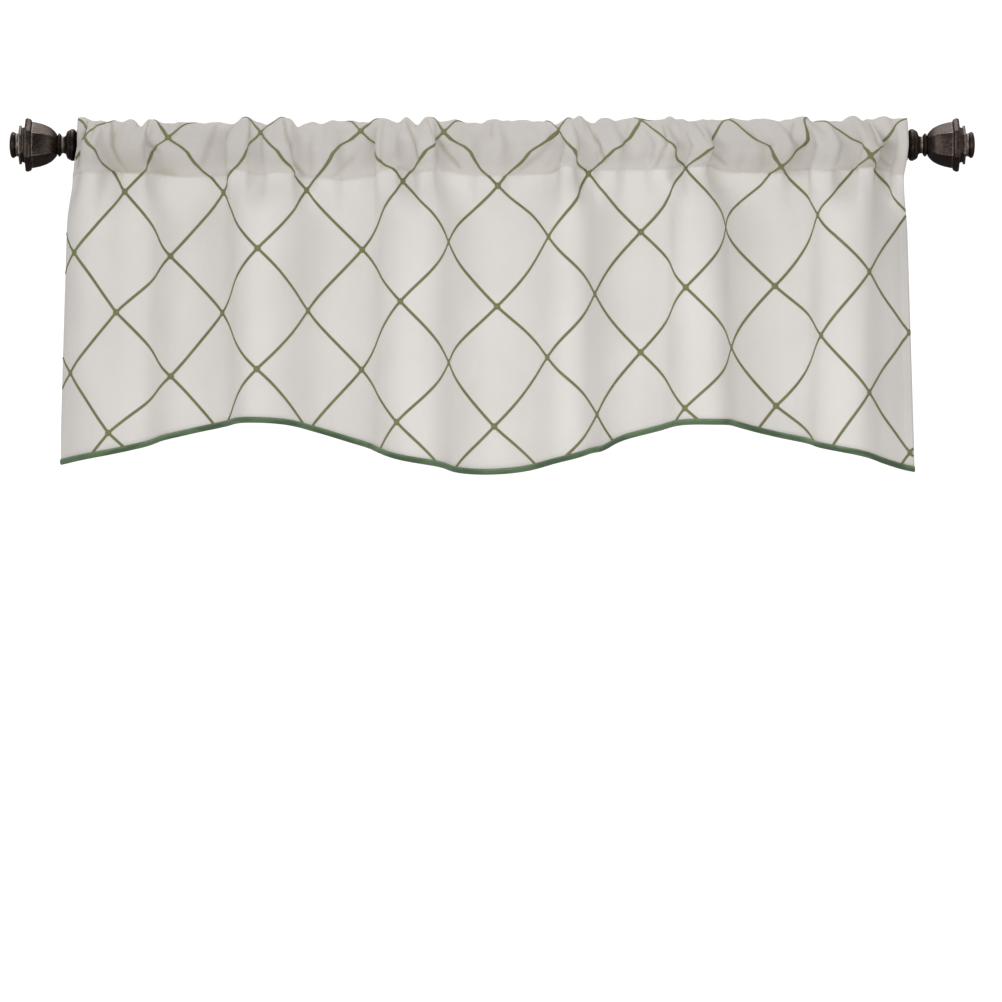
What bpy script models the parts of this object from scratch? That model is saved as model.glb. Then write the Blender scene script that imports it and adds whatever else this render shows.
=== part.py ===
"""Window valance gathered on a curtain rod, built at its real size in metres.

+X runs along the rod to the right, the room side faces -Y and +Z is up. The origin is the
middle of the rod's axis. The valance is one cloth: its top goes over the rod and down behind it,
where it is stitched to the front, and its scalloped lower edge carries a folded binding.
"""
import math

import bmesh
import bpy
import numpy as np
from mathutils import Matrix

# Rod and finials
ROD_RADIUS = 0.019
ROD_LENGTH = 1.038
ROD_SIDES = 32
PIECE_GAP = 0.0004

# Cloth, as cut and sewn
CLOTH_WIDTH = 1.372
CLOTH_THICK = 0.0015
LAYER_GAP = 0.0006
STITCH_DROP = 0.039
HEM_DROP = 0.379
HEM_SCALLOP = 0.0325
SCALLOP_LENGTH = 0.732
SCALLOP_LOWEST_AT = 0.668

# Pocket around the rod
POCKET_CLEARANCE = 0.0012
POCKET_TOP_LIFT = 0.0095
POCKET_TOP_SHARE = 0.3
POCKET_CENTRE_DROP = 0.002
POCKET_FULLNESS = 1.4
STITCH_EVENNESS = 0.42
FOLD_CHANGE_DROP = 0.06

# Where the middle of the cloth hangs: the cloth there, and its X at the rod and at the hem
MIDDLE_AT = 0.687
MIDDLE_X_TOP = 0.009
MIDDLE_X_HEM = 0.001

# Binding folded over the lower edge
BINDING_THICK = 0.001
BINDING_HEIGHT = 0.008
BINDING_GAP = 0.0007

CLOTH_COLUMNS = 116
FINE_STEP = 0.0005
DRIFT_ORDER = 5

# Folds, a row for each: the place along the cloth from its left edge (mm), how far the cloth
# turns out of the rod's direction (degrees, above 0 where it comes forward) and the fold's
# reach (mm). Pocket folds are many and small, skirt folds few and deep.
POCKET_FOLDS = (
    (20, 116, 12),
    (52, -75, 8),
    (80, 60, 8),
    (124, -98, 8),
    (150, 35, 9),
    (230, 35, 10),
    (249, 108, 9),
    (287, -75, 8),
    (313, 68, 8),
    (361, -108, 9),
    (395, 50, 9),
    (432, -40, 9),
    (490, 116, 9),
    (530, -75, 8),
    (560, 68, 8),
    (593, -108, 9),
    (655, 50, 9),
    (697, -40, 9),
    (783, 120, 10),
    (815, -92, 8),
    (850, 60, 8),
    (885, -62, 8),
    (930, 68, 9),
    (965, -68, 9),
    (992, 80, 8),
    (1031, -118, 10),
    (1120, 65, 9),
    (1155, -60, 9),
    (1197, 116, 10),
    (1238, -76, 9),
    (1275, 74, 9),
    (1313, -112, 10),
    (1350, 100, 11),
)
SKIRT_TOP_FOLDS = (
    (8, 72, 32),
    (53, -20, 16),
    (79, 25, 16),
    (147, -56, 34),
    (258, 70, 38),
    (370, -58, 38),
    (498, 66, 34),
    (608, -68, 38),
    (759, 60, 44),
    (838, -66, 42),
    (966, 74, 24),
    (1057, -78, 38),
    (1212, 70, 36),
    (1329, -64, 56),
)
HEM_FOLDS = (
    (23, 54, 38),
    (147, -46, 34),
    (263, 70, 42),
    (370, -52, 44),
    (498, 64, 48),
    (613, -64, 44),
    (759, 50, 50),
    (842, -64, 48),
    (966, 56, 53),
    (1068, -72, 43),
    (1212, 68, 42),
    (1329, -51, 52),
)

# Where the stitch line rides up or down: place (mm), lift (mm), reach (mm)
STITCH_LIFTS = (
    (28, 5, 40),
    (66, 4, 20),
    (122, 4, 22),
    (172, -2, 22),
    (264, 7, 16),
    (290, 2.5, 18),
    (336, 4, 18),
    (428, -5, 40),
    (526, 9.5, 30),
    (602, 8.5, 32),
    (735, 2, 30),
    (790, 11, 24),
    (828, 6, 24),
    (900, 8, 60),
    (984, 10.5, 34),
    (1034, 11.5, 24),
    (1095, 3.5, 50),
    (1188, 8.5, 32),
    (1248, 7, 40),
    (1312, 8, 40),
)
# Where the stitch line is spread sideways at the cloth's ends: place (mm), shift to the
# right (mm), reach (mm)
STITCH_SHIFTS = (
    (0, -7.5, 45),
    (1372, -4, 70),
)
# Where the lower edge rides off its even scallops: place (mm), lift (mm), reach (mm)
HEM_LIFTS = (
    (0, 8, 90),
    (455, -3, 40),
    (600, 3.5, 50),
    (862, -5, 22),
    (1035, -2.5, 40),
    (1150, -4, 55),
    (1290, 8, 80),
)
# Where the pocket's top edge stands up (above 0) or pinches down to the rod: place (mm),
# lift (mm), reach (mm)
TOP_LIFTS = (
    (4, 6, 12),
    (32, -4, 8),
    (46, -5, 8),
    (103, -9, 9),
    (127, 3, 12),
    (256, -9, 13),
    (313, -7, 14),
    (362, -8, 9),
    (404, -5, 10),
    (454, 3, 9),
    (524, -6, 10),
    (543, 6, 9),
    (562, -7, 9),
    (584, 3, 9),
    (622, 5, 13),
    (664, -4, 11),
    (730, 3, 42),
    (792, -9, 10),
    (831, 7, 9),
    (853, -5, 10),
    (917, 4, 18),
    (948, -5, 13),
    (978, 6, 9),
    (1012, -5, 13),
    (1048, 3, 12),
    (1088, 5, 36),
    (1188, 6, 22),
    (1218, -7, 13),
    (1278, 4, 13),
    (1299, -4, 7),
    (1332, 9, 17),
)

# Rows of the cloth, from the stitched end of the back layer over the rod to the lower edge:
# shares of the way down to the stitch line, angles around the rod, shares of the skirt.
BACK_SHARES = (1.0, 0.5)
ROD_ANGLES = (180, 150, 120, 90, 60, 30, 0)
FRONT_SHARES = (0.5, 1.0)
SKIRT_SHARES = (0.055, 0.13, 0.24, 0.38, 0.54, 0.7, 0.85)

# Finial, turned parts: distance from the rod's end and radius. The parts overlap a little.
FINIAL_ROUND = 24
FINIAL_FOOT = (
    (0.0000, 0.0000),
    (0.0000, 0.0160),
    (0.0015, 0.0184),
    (0.0050, 0.0201),
    (0.0085, 0.0191),
    (0.0126, 0.0154),
    (0.0147, 0.0108),
    (0.0183, 0.0106),
    (0.0200, 0.0138),
    (0.0215, 0.0147),
    (0.0230, 0.0138),
    (0.0240, 0.0115),
    (0.0270, 0.0110),
    (0.0270, 0.0000),
)
FINIAL_BODY = (
    (0.0243, 0.0000),
    (0.0243, 0.0136),
    (0.0312, 0.0212),
    (0.0384, 0.0250),
    (0.0456, 0.0274),
    (0.0563, 0.0296),
    (0.0568, 0.0322),
    (0.0613, 0.0339),
    (0.0638, 0.0312),
    (0.0643, 0.0240),
    (0.0683, 0.0215),
    (0.0687, 0.0244),
    (0.0717, 0.0244),
    (0.0722, 0.0170),
    (0.0722, 0.0000),
)
FINIAL_KNOB = (
    (0.0700, 0.0000),
    (0.0700, 0.0147),
    (0.0764, 0.0147),
    (0.0775, 0.0158),
    (0.0796, 0.0165),
    (0.0818, 0.0148),
    (0.0832, 0.0098),
    (0.0839, 0.0000),
)

# Colour and roughness of each material, and whether it is metal
CLOTH_LOOK = ((0.72, 0.69, 0.62), 0.9, 0.0)
BINDING_LOOK = ((0.08, 0.16, 0.08), 0.8, 0.0)
ROD_LOOK = ((0.05, 0.035, 0.03), 0.45, 0.8)
FINIAL_LOOK = ((0.045, 0.03, 0.026), 0.4, 0.85)


def clear_scene():
    for found in list(bpy.data.objects):
        bpy.data.objects.remove(found, do_unlink=True)


def new_material(name, look):
    colour, roughness, metallic = look
    material = bpy.data.materials.new(name)
    material.use_nodes = True
    shader = material.node_tree.nodes["Principled BSDF"]
    shader.inputs["Base Color"].default_value = (*colour, 1.0)
    shader.inputs["Roughness"].default_value = roughness
    shader.inputs["Metallic"].default_value = metallic
    return material


def new_object(name, mesh, material, collection):
    placed = bpy.data.objects.new(name, mesh)
    collection.objects.link(placed)
    if material is not None:
        mesh.materials.append(material)
    return placed


# Shape of the hanging cloth


def bells(rows, along):
    """Sum of a table's rows, each a smooth bell at its place along the cloth."""
    total = np.zeros_like(along)
    for at, height, reach in rows:
        total += height * np.exp(-((along * 1000 - at) / reach) ** 2)
    return total


def ease(share):
    share = min(max(share, 0.0), 1.0)
    return share * share * (3 - 2 * share)


def running_sum(values):
    steps = (values[1:] + values[:-1]) / 2 * FINE_STEP
    return np.concatenate(([0.0], np.cumsum(steps)))


def fold_line(folds, along, middle_x):
    """X and forward depth of the cloth at one level, from how it turns along its width.

    The cloth keeps its length: X adds up the turn's cosine, and depth its sine. A slow drift of
    the depth is taken out, so that the cloth stays under the rod.
    """
    turn = np.radians(bells(folds, along))
    x = running_sum(np.cos(turn))
    x += middle_x - np.interp(MIDDLE_AT, along, x)
    depth = running_sum(np.sin(turn))
    scaled = 2 * along / CLOTH_WIDTH - 1
    depth -= np.polyval(np.polyfit(scaled, depth, DRIFT_ORDER), scaled)
    return x, depth - depth.mean()


def evened(x, share):
    """X moved a share of the way to an even spread between its two ends."""
    return (1 - share) * x + share * np.linspace(x[0], x[-1], len(x))


def stitch_plan(along):
    """Fold line at the stitches, which hold its overlaps open."""
    x, depth = fold_line(POCKET_FOLDS, along, MIDDLE_X_TOP)
    return np.array((evened(x, STITCH_EVENNESS) + bells(STITCH_SHIFTS, along) / 1000, depth))


def hanging_line(along, drop):
    """Fold line at a drop below the stitches: pocket folds open out into the skirt's."""
    pocket = stitch_plan(along)
    skirt_top = np.array(fold_line(SKIRT_TOP_FOLDS, along, MIDDLE_X_TOP))
    hem = np.array(fold_line(HEM_FOLDS, along, MIDDLE_X_HEM))
    low = drop / (HEM_DROP - STITCH_DROP)
    loose = ease(drop / FOLD_CHANGE_DROP)
    return (1 - loose) * pocket + loose * ((1 - low) * skirt_top + low * hem)


def stitch_height(along):
    return -STITCH_DROP + bells(STITCH_LIFTS, along) / 1000


def hem_height(along):
    phase = 2 * math.pi * (along - SCALLOP_LOWEST_AT) / SCALLOP_LENGTH
    return -HEM_DROP - HEM_SCALLOP * np.cos(phase) + bells(HEM_LIFTS, along) / 1000


def pocket_fold(along):
    """Pocket cloth at the rod: X, and how far each fold stands off the rod, from 0 upwards."""
    x, depth = fold_line(POCKET_FOLDS, along, MIDDLE_X_TOP)
    return x, depth - depth.min()


def around_rod(along, degrees):
    """A row over the rod. 0 degrees is the front, 90 the top and 180 the back.

    The front and back layers fold side by side, and between them the top edge runs nearly
    straight, so its points are spread evenly.
    """
    x, stand = pocket_fold(along)
    most = stand.max()
    back = degrees / 180
    side_stand = (1 - back) * stand + back * (most - stand)
    top_stand = POCKET_TOP_LIFT + POCKET_TOP_SHARE * (stand - most / 2)
    top_stand = np.maximum(top_stand + bells(TOP_LIFTS, along) / 1000, 0.0)
    height = math.sin(math.radians(degrees))
    x = evened(x, height)
    radius = ROD_RADIUS + POCKET_CLEARANCE + CLOTH_THICK / 2
    radius = radius + (1 - height) * side_stand + height * top_stand
    y = -radius * math.cos(math.radians(degrees))
    z = radius * height - POCKET_CENTRE_DROP * (1 - height)
    return x, y, z


def stitch_line(along):
    x, depth = stitch_plan(along)
    return x, -depth, stitch_height(along)


def outward(x, y):
    """Unit direction in plan that points out of the cloth's front face."""
    run_x = np.gradient(x)
    run_y = np.gradient(y)
    length = np.hypot(run_x, run_y)
    return run_y / length, -run_x / length


def pocket_wall(along, degrees, share, layer_offset):
    """A row between the rod's side and the stitch line, for the front or the back layer."""
    x, side_y, side_z = around_rod(along, degrees)
    stitch_x, stitch_y, stitch_z = stitch_line(along)
    out_x, out_y = outward(stitch_x, stitch_y)
    stitch_x = stitch_x - layer_offset * out_x
    stitch_y = stitch_y - layer_offset * out_y
    x = x + (stitch_x - x) * share
    pinch = math.cos(math.pi / 2 * share ** POCKET_FULLNESS)
    y = stitch_y + (side_y - stitch_y) * pinch
    z = side_z + (stitch_z - side_z) * share
    return x, y, z


def skirt_row(along, share):
    """A row of the skirt: share 0 is the stitch line and share 1 the lower edge."""
    top = stitch_height(along)
    z = top + (hem_height(along) - top) * share
    x, depth = hanging_line(along, share * (HEM_DROP - STITCH_DROP))
    return x, -depth, z


def fine_places():
    return np.linspace(0.0, CLOTH_WIDTH, round(CLOTH_WIDTH / FINE_STEP) + 1)


def column_places(count):
    """Places along the cloth for the mesh's columns, closest where the folds bend most."""
    along = fine_places()
    bend = np.zeros_like(along)
    for folds in (POCKET_FOLDS, SKIRT_TOP_FOLDS, HEM_FOLDS):
        bend += np.abs(np.gradient(np.radians(bells(folds, along)), FINE_STEP))
    progress = running_sum(1 + bend / bend.mean())
    return np.interp(np.linspace(0, progress[-1], count), progress, along)


def binding_share():
    return 1 - BINDING_HEIGHT / (HEM_DROP - STITCH_DROP)


def cloth_rows():
    along = fine_places()
    layer = CLOTH_THICK + LAYER_GAP
    rows = [pocket_wall(along, 180, share, layer) for share in BACK_SHARES]
    rows += [around_rod(along, degrees) for degrees in ROD_ANGLES]
    rows += [pocket_wall(along, 0, share, 0.0) for share in FRONT_SHARES]
    rows += [skirt_row(along, share) for share in (*SKIRT_SHARES, binding_share(), 1.0)]
    return rows


def binding_rows():
    """The binding's section runs down the front face, under the edge and up the back."""
    along = fine_places()
    side = CLOTH_THICK / 2 + BINDING_GAP + BINDING_THICK / 2
    under = PIECE_GAP + BINDING_THICK / 2
    section = (
        (binding_share(), side, 0.0),
        (1.0, side, 0.0),
        (1.0, side / 2, -under),
        (1.0, -side / 2, -under),
        (1.0, -side, 0.0),
        (binding_share(), -side, 0.0),
    )
    rows = []
    for share, out, lift in section:
        x, y, z = skirt_row(along, share)
        out_x, out_y = outward(x, y)
        rows.append((x + out * out_x, y + out * out_y, z + lift))
    return rows


def sheet_object(name, rows, thick, material, collection):
    """Grid of the rows' points, given its thickness evenly about the middle."""
    along = fine_places()
    columns = column_places(CLOTH_COLUMNS)
    points = []
    for row in rows:
        points.append(np.stack([np.interp(columns, along, axis) for axis in row], axis=1))
    grid = np.array(points)
    mesh = bpy.data.meshes.new(name)
    shape = bmesh.new()
    bmesh.ops.create_grid(shape, x_segments=CLOTH_COLUMNS - 1, y_segments=len(rows) - 1, size=0.5)
    for vertex in shape.verts:
        column = round((vertex.co.x + 0.5) * (CLOTH_COLUMNS - 1))
        row = round((0.5 - vertex.co.y) * (len(rows) - 1))
        vertex.co = grid[row, column]
    shape.to_mesh(mesh)
    shape.free()
    mesh.shade_smooth()
    sheet = new_object(name, mesh, material, collection)
    solid = sheet.modifiers.new("thickness", "SOLIDIFY")
    solid.thickness = thick
    solid.offset = 0.0
    return sheet


# Rod and finials


def make_rod(material, collection):
    """Plain bar, turned so that one of its flats lies underneath."""
    shape = bmesh.new()
    bmesh.ops.create_cone(
        shape,
        cap_ends=True,
        segments=ROD_SIDES,
        radius1=ROD_RADIUS,
        radius2=ROD_RADIUS,
        depth=ROD_LENGTH,
        matrix=Matrix.Rotation(math.pi / ROD_SIDES, 3, "Z"),
    )
    mesh = bpy.data.meshes.new("rod")
    shape.to_mesh(mesh)
    shape.free()
    mesh.shade_smooth()
    mesh.set_sharp_from_angle(angle=math.radians(40))
    rod = new_object("rod", mesh, material, collection)
    rod.rotation_euler.y = math.pi / 2
    return rod


def turned(name, profile, sides, collection):
    """Solid of revolution about its own Z axis. Its profile is drawn from the far end back."""
    points = [(radius, 0.0, distance) for distance, radius in reversed(profile)]
    edges = [(index, index + 1) for index in range(len(points) - 1)]
    mesh = bpy.data.meshes.new(name)
    mesh.from_pydata(points, edges, [])
    body = new_object(name, mesh, None, collection)
    screw = body.modifiers.new("turn", "SCREW")
    screw.steps = sides
    screw.render_steps = sides
    screw.use_merge_vertices = True
    screw.merge_threshold = 0.00005
    return body


def make_finial(name, side, material, collection, cutters):
    """One casting: round foot, six-sided body with its flange and plate, and round knob."""
    finial = turned(name, FINIAL_BODY, 6, collection)
    finial.data.materials.append(material)
    joined = (
        turned(name + "_foot", FINIAL_FOOT, FINIAL_ROUND, cutters),
        turned(name + "_knob", FINIAL_KNOB, FINIAL_ROUND, cutters),
    )
    for piece in (finial, *joined):
        piece.location.x = side * (ROD_LENGTH / 2 + PIECE_GAP)
        piece.rotation_euler.y = side * math.pi / 2
    for piece in joined:
        piece.hide_render = True
        piece.display_type = "WIRE"
        union = finial.modifiers.new(piece.name, "BOOLEAN")
        union.operation = "UNION"
        union.object = piece
    return finial


def build():
    clear_scene()
    parts = bpy.data.collections.new("window_valance")
    cutters = bpy.data.collections.new("finial_turnings")
    bpy.context.scene.collection.children.link(parts)
    bpy.context.scene.collection.children.link(cutters)
    cloth = new_material("cloth", CLOTH_LOOK)
    binding = new_material("binding", BINDING_LOOK)
    rod_metal = new_material("rod_metal", ROD_LOOK)
    bronze = new_material("bronze", FINIAL_LOOK)
    sheet_object("valance", cloth_rows(), CLOTH_THICK, cloth, parts)
    sheet_object("hem_binding", binding_rows(), BINDING_THICK, binding, parts)
    make_rod(rod_metal, parts)
    make_finial("finial_left", -1, bronze, parts, cutters)
    make_finial("finial_right", 1, bronze, parts, cutters)


build()
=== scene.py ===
"""Looks of the window valance on its curtain rod: hung cloth, trellis embroidery, hem tape, finials.

Metres, with the rod along X, the room on the -Y side and Z up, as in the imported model. The cloth is
worked out from the same sizes and fold tables as its solid, only finer and with its small creases.
"""
import math

import bmesh
import bpy
import numpy as np
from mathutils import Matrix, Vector


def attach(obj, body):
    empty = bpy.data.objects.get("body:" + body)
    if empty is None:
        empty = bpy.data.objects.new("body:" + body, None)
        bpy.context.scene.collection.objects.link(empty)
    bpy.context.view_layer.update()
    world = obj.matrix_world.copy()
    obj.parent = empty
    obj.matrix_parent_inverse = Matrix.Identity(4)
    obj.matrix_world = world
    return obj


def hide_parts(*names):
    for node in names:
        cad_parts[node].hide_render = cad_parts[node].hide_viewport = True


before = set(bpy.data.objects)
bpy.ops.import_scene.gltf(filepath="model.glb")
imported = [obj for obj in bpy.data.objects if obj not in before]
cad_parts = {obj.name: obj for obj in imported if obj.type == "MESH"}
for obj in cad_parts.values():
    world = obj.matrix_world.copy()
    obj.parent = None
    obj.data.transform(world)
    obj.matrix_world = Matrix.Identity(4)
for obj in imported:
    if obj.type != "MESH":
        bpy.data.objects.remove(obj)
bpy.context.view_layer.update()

# Sizes shared with the solids
ROD_RADIUS = 0.019
ROD_LENGTH = 1.038
PIECE_GAP = 0.0004
CLOTH_WIDTH = 1.372
CLOTH_THICK = 0.0015
STITCH_DROP = 0.039
HEM_DROP = 0.379
HEM_SCALLOP = 0.0325
SCALLOP_LENGTH = 0.732
SCALLOP_LOWEST_AT = 0.668
POCKET_CLEARANCE = 0.0012
POCKET_TOP_LIFT = 0.0095
POCKET_TOP_SHARE = 0.3
POCKET_CENTRE_DROP = 0.002
POCKET_FULLNESS = 1.4
STITCH_EVENNESS = 0.42
FOLD_CHANGE_DROP = 0.06
MIDDLE_AT = 0.687
MIDDLE_X_TOP = 0.009
MIDDLE_X_HEM = 0.001
FINE_STEP = 0.0005
DRIFT_ORDER = 5

# Folds: place along the cloth from its left edge (mm), turn out of the rod's direction (degrees,
# above 0 where the cloth comes forward), reach (mm)
POCKET_FOLDS = (
    (20, 116, 12), (52, -75, 8), (80, 60, 8), (124, -98, 8), (150, 35, 9), (230, 35, 10),
    (249, 108, 9), (287, -75, 8), (313, 68, 8), (361, -108, 9), (395, 50, 9), (432, -40, 9),
    (490, 116, 9), (530, -75, 8), (560, 68, 8), (593, -108, 9), (655, 50, 9), (697, -40, 9),
    (783, 120, 10), (815, -92, 8), (850, 60, 8), (885, -62, 8), (930, 68, 9), (965, -68, 9),
    (992, 80, 8), (1031, -118, 10), (1120, 65, 9), (1155, -60, 9), (1197, 116, 10), (1238, -76, 9),
    (1275, 74, 9), (1313, -112, 10), (1350, 100, 11),
)
SKIRT_TOP_FOLDS = (
    (8, 72, 32), (53, -20, 16), (79, 25, 16), (147, -56, 34), (258, 70, 38), (370, -58, 38),
    (498, 66, 34), (608, -68, 38), (759, 60, 44), (838, -66, 42), (966, 74, 24), (1057, -78, 38),
    (1212, 70, 36), (1329, -64, 56),
)
HEM_FOLDS = (
    (23, 54, 38), (147, -46, 34), (263, 70, 42), (370, -52, 44), (498, 64, 48), (613, -64, 44),
    (759, 50, 50), (842, -64, 48), (966, 56, 53), (1068, -72, 43), (1212, 68, 42), (1329, -51, 52),
)
# Small lifts of the stitch line, the hem and the pocket's top, and sideways shifts of the stitch
# line: place (mm), lift or shift (mm), reach (mm)
STITCH_LIFTS = (
    (28, 5, 40), (66, 4, 20), (122, 4, 22), (172, -2, 22), (264, 7, 16), (290, 2.5, 18),
    (336, 4, 18), (428, -5, 40), (526, 9.5, 30), (602, 8.5, 32), (735, 2, 30), (790, 11, 24),
    (828, 6, 24), (900, 8, 60), (984, 10.5, 34), (1034, 11.5, 24), (1095, 3.5, 50), (1188, 8.5, 32),
    (1248, 7, 40), (1312, 8, 40),
)
STITCH_SHIFTS = ((0, -7.5, 45), (1372, -4, 70))
HEM_LIFTS = (
    (0, 8, 90), (455, -3, 40), (600, 3.5, 50), (862, -5, 22), (1035, -2.5, 40), (1150, -4, 55),
    (1290, 8, 80),
)
TOP_LIFTS = (
    (4, 6, 12), (32, -4, 8), (46, -5, 8), (103, -9, 9), (127, 3, 12), (256, -9, 13), (313, -7, 14),
    (362, -8, 9), (404, -5, 10), (454, 3, 9), (524, -6, 10), (543, 6, 9), (562, -7, 9), (584, 3, 9),
    (622, 5, 13), (664, -4, 11), (730, 3, 42), (792, -9, 10), (831, 7, 9), (853, -5, 10),
    (917, 4, 18), (948, -5, 13), (978, 6, 9), (1012, -5, 13), (1048, 3, 12), (1088, 5, 36),
    (1188, 6, 22), (1218, -7, 13), (1278, 4, 13), (1299, -4, 7), (1332, 9, 17),
)

# The cloth as it shows
SHOWN_THICK = 0.001
LAYER_OFFSET = 0.0013
FLAP_DROP = 0.004
ROD_STAND_OFF = 0.0009
SIDE_HEM = 0.013

# Its mesh. Rows over the rod: from and to an angle above its front (degrees), and how many. Rows of
# the skirt: from and to a share of its drop, and how many
CLOTH_COLUMNS = 620
BACK_ROWS = 7
ROD_BACK_ROWS = (180, 105, 8)
ROD_FRONT_ROWS = (97, 0, 17)
FRONT_ROWS = 14
SKIRT_TOP_ROWS = (0, 0.06, 9)
SKIRT_ROWS = (0.06, 1, 25)
# How closely the back takes up the front's relief at the seam, fading to none at the rod
SEAM_FOLLOW = 1.2

# Small relief of the cloth's face
STITCH_PULL = 0.0007
STITCH_PULL_REACH = 0.0022
PUCKER_REACH = 0.014
WRINKLES_FULL_AT = 0.02
WAVES_FULL_AT = 0.05
SIDE_HEM_RISE = 0.00025
SIDE_HEM_RISE_REACH = 0.0014
SIDE_HEM_SINK = 0.0003
SIDE_HEM_SINK_REACH = 0.0016
# Wave: length along the cloth (mm), height (mm), where it starts (radians), how far it leans
PUCKERS = ((8.3, 0.16, 0.0, 0.0), (12.7, 0.22, 1.3, 0.0), (21.0, 0.20, 0.4, 0.0))
POCKET_WRINKLES = ((17.0, 0.28, 0.5, 0.10), (27.0, 0.38, 2.0, -0.16), (43.0, 0.42, 4.1, 0.22))
SKIRT_WAVES = ((61.0, 0.40, 0.3, 0.03), (97.0, 0.65, 1.9, -0.05), (29.0, 0.10, 3.3, 0.06))
# Crease: where it starts and ends, each as a place along the cloth and a height above the stitch
# line (mm), depth (mm, below 0 for a ridge) and reach (mm)
CREASES = (
    (12, 88, 6, 10, 1.3, 1.8), (16, 92, 18, 66, 2.4, 2.6), (34, 90, 40, 60, 1.5, 2.6),
    (57, 94, 71, 66, 2.6, 3.4), (71, 66, 92, 10, 2.6, 4.2), (118, 92, 121, 70, 2.0, 3.2),
    (121, 70, 148, 46, 1.8, 3.2), (170, 88, 166, 66, 0.9, 4), (226, 84, 205, 26, 1.2, 7),
    (259, 84, 245, 30, 1.4, 6), (284, 92, 291, 62, 1.9, 3.4), (340, 92, 347, 62, 2.4, 3.4),
    (347, 62, 379, 8, 3.0, 4.6), (420, 6, 452, 40, 1.0, 6), (506, 96, 505, 6, 1.3, 2.4),
    (543, 92, 568, 22, 2.2, 3.6), (575, 96, 586, 62, 1.5, 2.6), (602, 64, 634, 16, 2.6, 4.6),
    (604, 44, 600, 14, 1.2, 4), (684, 88, 679, 66, 1.2, 2.8), (716, 10, 768, 74, 1.3, 7),
    (840, 92, 845, 60, 1.8, 2.6), (845, 60, 862, 30, 2.6, 4.2), (905, 84, 893, 62, 0.8, 4),
    (958, 80, 947, 50, 1.7, 3), (945, 46, 941, 14, 1.3, 6), (985, 86, 964, 54, -0.9, 4),
    (1016, 92, 1015, 62, 1.6, 2.6), (1026, 54, 1060, 24, 2.2, 4.4), (1020, 14, 1040, 26, 1.0, 4),
    (1180, 92, 1150, 56, 1.5, 3), (1200, 90, 1212, 66, -1.0, 4), (1304, 90, 1298, 56, 2.0, 3),
    (1298, 54, 1338, 18, 2.2, 4.4), (1100, 74, 1112, 20, 0.7, 8), (650, 70, 640, 20, -0.6, 8),
    (24, -10, 14, -340, -7, 34), (154, -12, 154, -340, 6, 24), (1212, -20, 1212, -360, -6, 38),
    (1312, -20, 1312, -360, 5, 28),
)
# A crease is full over a share of its length. Its fade and swell are counted in its reach and depth
CREASE_FULL_SHARE = 0.8
CREASE_FADE = 2
CREASE_SWELL_REACH = 3
CREASE_SWELL = 0.45
# Depth at which a crease's painted shade is darkest, and how far above the stitches that is so
CREASE_SHADE_DEPTH = 0.0012
CREASE_SHADE_FROM = 0.004

# Trellis embroidery on the flat cloth
TRELLIS_PITCH = 0.0755
TRELLIS_START = 0.1
TRELLIS_ROW = 0.07525
TRELLIS_FIRST_ROW = -0.0516
TRELLIS_SLOPE = 0.00306
TRELLIS_MIDDLE = 9
TRELLIS_LAST = 18
# Runs: how far they pass the outer columns, their rows there, and their gaps to hem and back end
TRELLIS_PAST_LAST = 0.4
TRELLIS_RUN_STARTS = range(-24, 26, 2)
TRELLIS_HEM_GAP = 0.003
TRELLIS_BACK_GAP = 0.002
# Lift of each column of crossings above its even slope, from the left (mm)
TRELLIS_LIFTS = (20, 17, 10, 11, 12, 7.5, 6, 12, 8.5, 1, 8.5, 9.5, 9.5, 11, 9, 8.5, 17.5, 18.5, 16)
# Shift to the right of each column at the stitch line, at the hem and, further, at the pocket's
# top, from the left (mm)
TRELLIS_TOP_SHIFTS = (22, 7, 4, 3, -2, -2, -1, 2, -4, 1, 5, -1, 0, 3, -7, 2, -2, 1, 10)
TRELLIS_HEM_SHIFTS = (8, -8, 8, -3, 0, 4, 0, -2, 6, 0, 4, 10, 1, 3, 20, 5, 20, 2, -2)
TRELLIS_LEANS = (-2, 2, -4, 2, -3, 4, 8, 2, 3, 8, 24, 14, 16, 10, 15, 6, 0, 0, 40)
TRELLIS_LEAN_HEIGHT = 0.075
TRELLIS_LEAN_MOST = 1.3
EMBROIDERY_WIDTH = 0.0035
EMBROIDERY_HEIGHT = 0.0009
EMBROIDERY_CROWN = (0.25, 0.8, 1.0, 0.8, 0.25)
EMBROIDERY_THICK = 0.0008
EMBROIDERY_STEP = 0.0028
LEAST_POINTS = 4
# The reverse of the embroidery, which starts a little below the pocket's stitches
REVERSE_SHARE = 0.8
REVERSE_CROWN = (0.0, 0.00022, 0.0)
REVERSE_FOOT = 0.0001
REVERSE_THICK = 0.0004
REVERSE_DROP = 0.005
# Knots: half their diagonal, and their rim and rise as shares of the embroidery's height
KNOT_SIZE = 0.0045
KNOT_POINTS = 7
KNOT_RIM = 0.3
KNOT_RISE = 0.85
KNOT_ROWS = (-2, 7)
KNOTS_ABOVE_HEM = 0.012
KNOTS_ABOVE_STITCHES = 0.16
# Ways up from the pocket's front stitches (mm): along the hanging cloth, and on the flat cloth
POCKET_WAYS = ((0, 0), (45, 28), (62, 50), (110, 88), (222, 176))

# Tape over the hem: height above the cloth's edge and distance out from its middle (mm)
TAPE_SECTION = (
    (6.1, 0.95), (5.8, 1.35), (5.0, 1.7), (3.8, 1.9), (2.4, 1.95), (1.2, 1.8), (0.2, 1.55),
    (-0.5, 0.95), (-0.8, 0.0),
)
TAPE_THICK = 0.0006
TAPE_COLUMNS = 640
TAPE_STEP = 0.0012
# Ripple: height, length, and how far (radians) and fast (radians a metre) it runs ahead and behind
TAPE_RIPPLE = (0.00012, 0.0155, 1.1, 37)

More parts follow.
